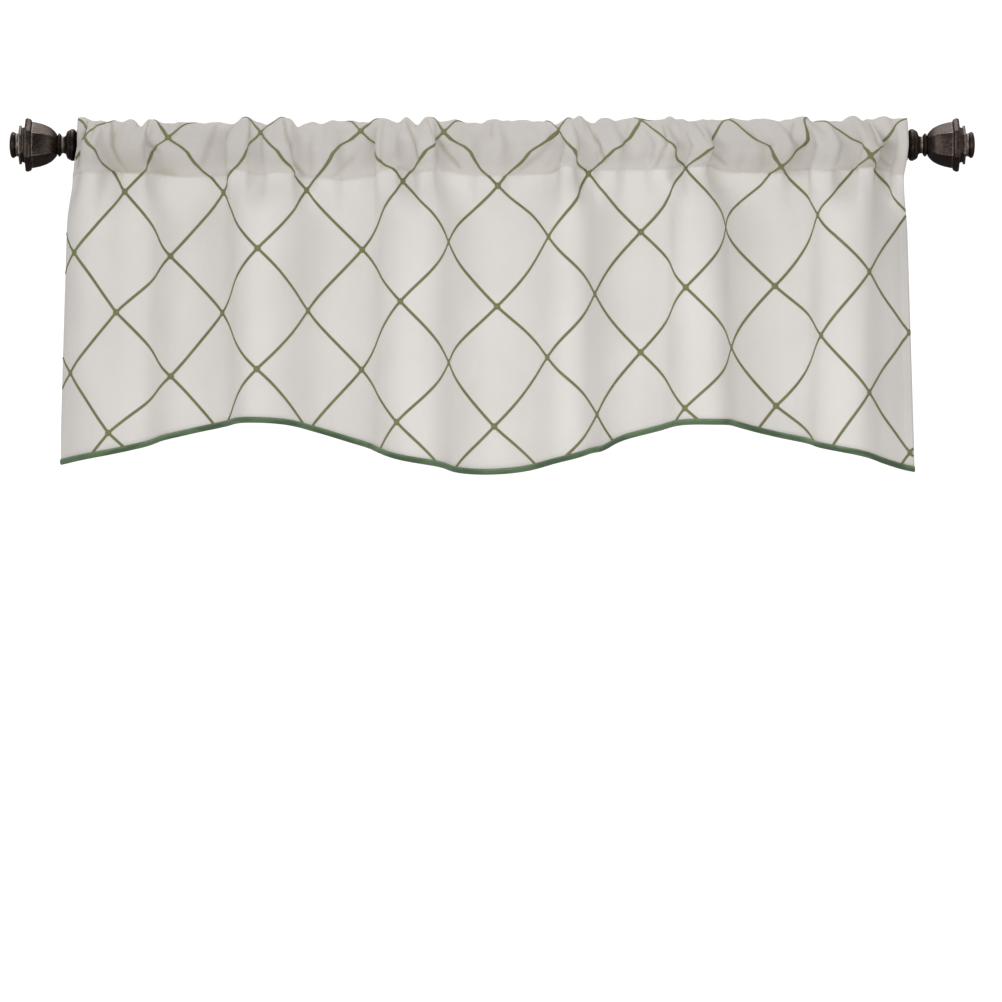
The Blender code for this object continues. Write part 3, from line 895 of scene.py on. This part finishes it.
class Wire:
    """A socket of a material that is summed and multiplied like a number."""

    def __init__(self, tree, socket):
        self.tree = tree
        self.socket = socket

    def node(self, kind, settings=(), sockets=(), output=0):
        """A new node: its settings are set first, then its sockets' values or links."""
        made = self.tree.nodes.new(kind)
        for name, value in dict(settings).items():
            setattr(made, name, value)
        for name, value in dict(sockets).items():
            if isinstance(value, Wire):
                self.tree.links.new(value.socket, made.inputs[name])
            else:
                made.inputs[name].default_value = value
        return Wire(self.tree, made.outputs[output])

    def math(self, operation, other=0.0):
        return self.node("ShaderNodeMath", {"operation": operation}, {0: self, 1: other})

    def __add__(self, other):
        return self.math("ADD", other)

    __radd__ = __add__

    def __sub__(self, other):
        return self.math("SUBTRACT", other)

    def __rsub__(self, other):
        return self.node("ShaderNodeMath", {"operation": "SUBTRACT"}, {0: other, 1: self})

    def __mul__(self, other):
        return self.math("MULTIPLY", other)

    __rmul__ = __mul__

    def step(self, low, high):
        """0 below the low value, 1 above the high one and smooth between."""
        settings = {"interpolation_type": "SMOOTHSTEP"}
        sockets = {"Value": self, "From Min": low, "From Max": high}
        return self.node("ShaderNodeMapRange", settings, sockets)

    def blend(self, first, second):
        """First colour where this is 0, second where it is 1."""
        settings = {"data_type": "RGBA", "clamp_factor": True}
        sockets = {0: self, 6: opaque(first), 7: opaque(second)}
        return self.node("ShaderNodeMix", settings, sockets, 2)

    def tinted(self, tint):
        """This colour multiplied by another."""
        settings = {"data_type": "RGBA", "blend_type": "MULTIPLY"}
        return self.node("ShaderNodeMix", settings, {0: 1.0, 6: self, 7: opaque(tint)}, 2)

    def noise(self, scale, detail, stretch=(1.0, 1.0, 1.0)):
        """Smooth noise at this place, drawn out along its axes."""
        place = self.node("ShaderNodeMapping", {}, {"Vector": self, "Scale": stretch})
        sockets = {"Vector": place, "Scale": scale, "Detail": detail}
        return self.node("ShaderNodeTexNoise", {}, sockets)


def new_material(name, fixed):
    """A material with its shader's fixed values set, and a wire to start its nodes from."""
    material = bpy.data.materials.new(name)
    material.use_nodes = True
    for socket, value in fixed.items():
        material.node_tree.nodes["Principled BSDF"].inputs[socket].default_value = value
    return material, Wire(material.node_tree, None)


def opaque(colour):
    """A colour's red, green and blue with nothing see-through. A wire stays as it is."""
    return colour if isinstance(colour, Wire) else (*colour, 1.0)


def surfaced(material, colour, rough, height, depth, strength):
    """The material with its finish linked. Height runs from 0 to 1 and is so many metres deep."""
    sockets = {"Strength": strength, "Distance": depth, "Height": height}
    normal = height.node("ShaderNodeBump", {}, sockets)
    shader = material.node_tree.nodes["Principled BSDF"]
    for name, wire in (("Base Color", colour), ("Roughness", rough), ("Normal", normal)):
        wire.tree.links.new(wire.socket, shader.inputs[name])
    return material


def flat_place(wire):
    """The flat cloth's place, and its two parts: along and up."""
    place = wire.node("ShaderNodeUVMap", {"uv_map": "flat"})
    along = wire.node("ShaderNodeSeparateXYZ", {}, {0: place}, 0)
    up = wire.node("ShaderNodeSeparateXYZ", {}, {0: place}, 1)
    return place, along, up


def threads(across, pitch):
    """Round threads side by side: 0 between two of them and 1 on their crowns."""
    return (across * (math.pi / pitch)).math("SINE").math("ABSOLUTE")


def plain_weave(along, up, pitch):
    """Height of a plain weave: threads pass over and under by turns."""
    turn = (along * (1 / pitch)).math("FLOOR") + (up * (1 / pitch)).math("FLOOR")
    over = turn.math("PINGPONG", 1.0)
    return threads(along, pitch) * over + threads(up, pitch) * (1 - over)


def cloth_material():
    """Off-white plain weave with slubs. Painted shade makes it greyer where it lies double, in the
    pocket and the side hems, darker still where the rod is behind the pocket, and darker in the pocket's
    creases."""
    fixed = {"Roughness": 0.86, "Sheen Weight": 0.12, "Sheen Roughness": 0.5, "Specular IOR Level": 0.25}
    material, wire = new_material("off_white_weave", fixed)
    place, along, up = flat_place(wire)
    weave = plain_weave(along, up, WEAVE_PITCH)
    slub_along = place.noise(1.0, 2.0, (45.0, 1400.0, 1.0))
    slub_up = place.noise(1.0, 2.0, (1400.0, 45.0, 1.0))
    slubs = slub_along * 0.5 + slub_up * 0.5
    cloudy = place.noise(9.0, 3.0).step(0.3, 0.7)
    double = up.step(-0.0008, 0.0008)
    from_middle = (along - CLOTH_WIDTH / 2).math("ABSOLUTE")
    hem_edge = CLOTH_WIDTH / 2 - SIDE_HEM
    hemmed = from_middle.step(hem_edge - 0.0004, hem_edge + 0.0004)
    # Painted shade: the cloth is greyer where it lies double, in the pocket and the side hems, and
    # darker still where the rod is behind the pocket
    single = cloudy.blend((0.79, 0.763, 0.735), (0.83, 0.803, 0.775))
    above_rod = cloudy.blend((0.635, 0.601, 0.571), (0.675, 0.639, 0.609))
    below_rod = cloudy.blend((0.765, 0.727, 0.695), (0.805, 0.767, 0.735))
    pocket_painted_shade = up.step(*ROD_SHADE_HEIGHTS).blend(below_rod, above_rod)
    layers = double.math("MAXIMUM", hemmed * 0.45)
    cloth = layers.blend(single, pocket_painted_shade)
    thread = (weave * 0.6 + slubs * 0.4).step(0.15, 0.75)
    shade = thread.blend((0.90, 0.90, 0.89), NO_TINT)
    # Painted shade: the cloth is darker deep in the pocket's creases
    painted_crease_shade = wire.node("ShaderNodeAttribute", {"attribute_name": "crease"}, {}, "Fac")
    folded = painted_crease_shade.blend(NO_TINT, (0.79, 0.77, 0.70))
    woven_with_painted_shade = cloth.tinted(shade).tinted(folded)
    rough = 0.80 + slubs * 0.14
    height = weave * 0.5 + slubs * 0.5
    return surfaced(material, woven_with_painted_shade, rough, height, 0.00028, 0.55)


def stitched_material(name, dark, light, pitch, lean):
    """Close rows of thread laid across a band, as in satin stitching."""
    material, wire = new_material(name, {"Roughness": 0.6, "Sheen Weight": 0.1})
    place, along, across = flat_place(wire)
    wander = place.noise(1.0, 1.0, (260.0, 260.0, 1.0))
    thread = threads(along + across * lean + wander * 0.0006, pitch)
    fibres = place.noise(1.0, 2.0, (900.0, 3800.0, 1.0))
    patch_noise = place.noise(1.0, 2.0, (30.0, 30.0, 1.0))
    lit = (thread * 0.7 + fibres * 0.5).step(0.2, 0.95)
    plain = lit.blend(dark, light)
    tone = patch_noise.step(0.3, 0.7).blend((0.88, 0.9, 0.86), (1.06, 1.05, 1.0))
    toned = plain.tinted(tone)
    rough = 0.66 - thread * 0.18
    height = thread * 0.75 + fibres * 0.25
    return surfaced(material, toned, rough, height, 0.0004, 0.7)


def tape_material():
    """Sage green twill: fine ribs that run across the tape at a slant, a painted highlight along its
    upper edge, and patches of painted light and shade along its length.
    """
    material, wire = new_material("green_twill", {"Roughness": 0.74, "Sheen Weight": 0.15})
    place, along, up = flat_place(wire)
    ribs = threads(along * 0.9 + up * 1.3, RIB_PITCH)
    fibres = place.noise(1.0, 2.0, (1500.0, 1500.0, 1.0))
    patch_noise = place.noise(1.0, 3.0, (22.0, 90.0, 1.0))
    lit = (ribs * 0.6 + fibres * 0.6).step(0.25, 0.95)
    body = lit.blend((0.045, 0.090, 0.040), (0.090, 0.155, 0.076))
    # Painted highlight: the tape's upper edge is paler
    edge = lit.blend((0.105, 0.185, 0.092), (0.170, 0.265, 0.145))
    plain = up.step(-0.0042, -0.0022).blend(body, edge)
    # Painted light and shade: lighter and darker patches along the tape
    tone_with_painted_light = patch_noise.step(0.40, 0.60).blend((0.76, 0.78, 0.76), (1.34, 1.30, 1.30))
    toned = plain.tinted(tone_with_painted_light)
    rough = 0.78 - ribs * 0.12
    height = ribs * 0.7 + fibres * 0.3
    return surfaced(material, toned, rough, height, 0.0003, 0.6)


def thread_material(name, dark, light):
    """Twisted sewing thread, on object coordinates."""
    material, wire = new_material(name, {"Roughness": 0.6})
    place = wire.node("ShaderNodeTexCoord", {}, {}, "Object")
    fibres = place.noise(2600.0, 2.0)
    patches = place.noise(40.0, 1.0)
    plain = (fibres * 0.7 + patches * 0.3).step(0.3, 0.7).blend(dark, light)
    rough = 0.5 + fibres * 0.25
    return surfaced(material, plain, rough, fibres, 0.0002, 0.5)


def bronze_material():
    """Oil-rubbed bronze: near black, streaked with brown, rubbed bright on its edges and darkest in its
    grooves, with painted light on its upper faces, painted shade underneath and a painted highlight
    on two rings."""
    fixed = {"Roughness": 0.4, "Metallic": 0.72, "Specular IOR Level": 0.3}
    fixed["Specular Tint"] = opaque((0.45, 0.40, 0.38))
    material, wire = new_material("oil_rubbed_bronze", fixed)
    place = wire.node("ShaderNodeTexCoord", {}, {}, "Object")
    broad = place.noise(38.0, 4.0)
    fine = place.noise(420.0, 3.0)
    grain = place.noise(1600.0, 2.0)
    brushed = place.noise(1.0, 3.0, (70.0, 900.0, 900.0))
    wear_and_highlight = wire.node("ShaderNodeAttribute", {"attribute_name": "wear_and_highlight"}, {}, "Fac")
    facing = wire.node("ShaderNodeTexCoord", {}, {}, "Normal")
    upward = wire.node("ShaderNodeSeparateXYZ", {}, {0: facing}, 2)
    mottled = (broad * 0.45 + fine * 0.2 + brushed * 0.35).step(0.38, 0.62)
    dark = mottled.blend((0.014, 0.010, 0.009), (0.068, 0.051, 0.044))
    bright = mottled.blend((0.070, 0.060, 0.056), (0.165, 0.146, 0.136))
    # Painted shade: faces that turn downwards are darkened
    under = upward.step(-0.75, 0.0).blend((0.30, 0.28, 0.27), NO_TINT)
    # Painted light: faces that turn upwards take a brighter copy of the mottled colour
    painted_top_light = upward.step(0.45, 0.95).blend(dark, bright)
    # Edges rubbed bright, and the two rings with their painted highlight
    rubbed = (wear_and_highlight * 1.2 + fine * 0.8 - 0.85).step(0.0, 0.6)
    tone_with_painted_light = rubbed.blend(painted_top_light, (0.30, 0.25, 0.22)).tinted(under)
    toned = wear_and_highlight.step(-0.9, 0.0).blend((0.006, 0.005, 0.005), tone_with_painted_light)
    rough = 0.24 + mottled * 0.10 + grain * 0.10 - rubbed * 0.05
    height = fine * 0.6 + grain * 0.4
    return surfaced(material, toned, rough, height, 0.0003, 0.3)


def rod_material():
    """Satin dark bronze paint with fine lines along the rod."""
    material, wire = new_material("satin_bronze_paint", {"Roughness": 0.42, "Metallic": 0.7})
    place = wire.node("ShaderNodeTexCoord", {}, {}, "Object")
    lines = place.noise(1.0, 2.0, (14.0, 1400.0, 1400.0))
    broad = place.noise(22.0, 3.0)
    mottled = (lines * 0.5 + broad * 0.5).step(0.35, 0.65)
    toned = mottled.blend((0.034, 0.026, 0.023), (0.058, 0.043, 0.037))
    rough = 0.36 + lines * 0.14
    return surfaced(material, toned, rough, lines, 0.0002, 0.25)


# Studio


def make_floor():
    """Plain round floor below the valance, not part of the object."""
    shape = bmesh.new()
    bmesh.ops.create_circle(shape, cap_ends=True, segments=FLOOR_SIDES, radius=FLOOR_RADIUS)
    bmesh.ops.translate(shape, vec=Vector((0.0, 0.0, -FLOOR_DROP)), verts=shape.verts)
    mesh = mesh_of("white_floor", shape)
    fixed = {"Roughness": 1.0, "Base Color": opaque((0.9, 0.9, 0.9))}
    mesh.materials.append(new_material("floor_paper", fixed)[0])
    placed("white_floor", mesh)


def soft_light(name, place, target, size, power):
    """A soft box of a width and a height that faces its target."""
    light = bpy.data.lights.new(name, "AREA")
    light.shape = "RECTANGLE"
    light.size, light.size_y = size
    light.energy = power
    box = placed(name, light)
    box.location = place
    box.rotation_euler = (Vector(target) - Vector(place)).to_track_quat("-Z", "Y").to_euler()
    box.visible_camera = False


def make_camera():
    """A long lens far in front of the window, level and square on, as in the photograph."""
    camera = bpy.data.cameras.new("camera")
    camera.sensor_width = SENSOR_WIDTH
    camera.lens = SENSOR_WIDTH * CAMERA_DISTANCE / VIEW_WIDTH
    camera.clip_end = SIGHT_LENGTH
    eye = placed("camera", camera)
    eye.location = (LOOK_AT[0], LOOK_AT[1] - CAMERA_DISTANCE, LOOK_AT[2])
    eye.rotation_euler = (math.pi / 2, 0.0, 0.0)
    bpy.context.scene.camera = eye


def make_studio():
    """White all round, soft boxes and a pale floor."""
    scene = bpy.context.scene
    scene.view_settings.view_transform = "Standard"
    world = bpy.data.worlds.new("studio")
    world.use_nodes = True
    background = world.node_tree.nodes["Background"]
    background.inputs["Color"].default_value = opaque((1.0, 0.995, 0.985))
    seen = Wire(world.node_tree, None).node("ShaderNodeLightPath", {}, {}, "Is Camera Ray")
    strength = seen * BACKGROUND_LIFT + AMBIENT
    world.node_tree.links.new(strength.socket, background.inputs["Strength"])
    scene.world = world
    for box in SOFT_BOXES:
        soft_light(*box)
    make_floor()


def build():
    """The studio, the finishes, the cloth and what is sewn to it, the castings and the rod."""
    make_camera()
    make_studio()
    olive = stitched_material(
        "olive_satin_stitch", (0.118, 0.122, 0.042), (0.252, 0.255, 0.108), SATIN_PITCH, 0.35
    )
    olive_back = stitched_material(
        "olive_reverse", (0.15, 0.165, 0.065), (0.30, 0.32, 0.15), REVERSE_PITCH, -0.2
    )
    green_thread = thread_material("green_thread", (0.07, 0.14, 0.075), (0.13, 0.22, 0.13))
    white_thread = thread_material("white_thread", (0.66, 0.63, 0.58), (0.84, 0.81, 0.77))
    bronze = bronze_material()
    cloth = make_cloth(cloth_material())
    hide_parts("valance")
    trellis = make_trellis(olive)
    reverse = make_trellis_back(olive_back)
    tape = make_tape(tape_material())
    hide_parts("hem_binding")
    seams = make_cloth_stitches(white_thread)
    edging = make_tape_stitches(green_thread)
    make_finial("finial_casting_left", "finial_left", -1, bronze)
    make_finial("finial_casting_right", "finial_right", 1, bronze)
    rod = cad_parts["rod"]
    rod.material_slots[0].material = rod_material()


build()
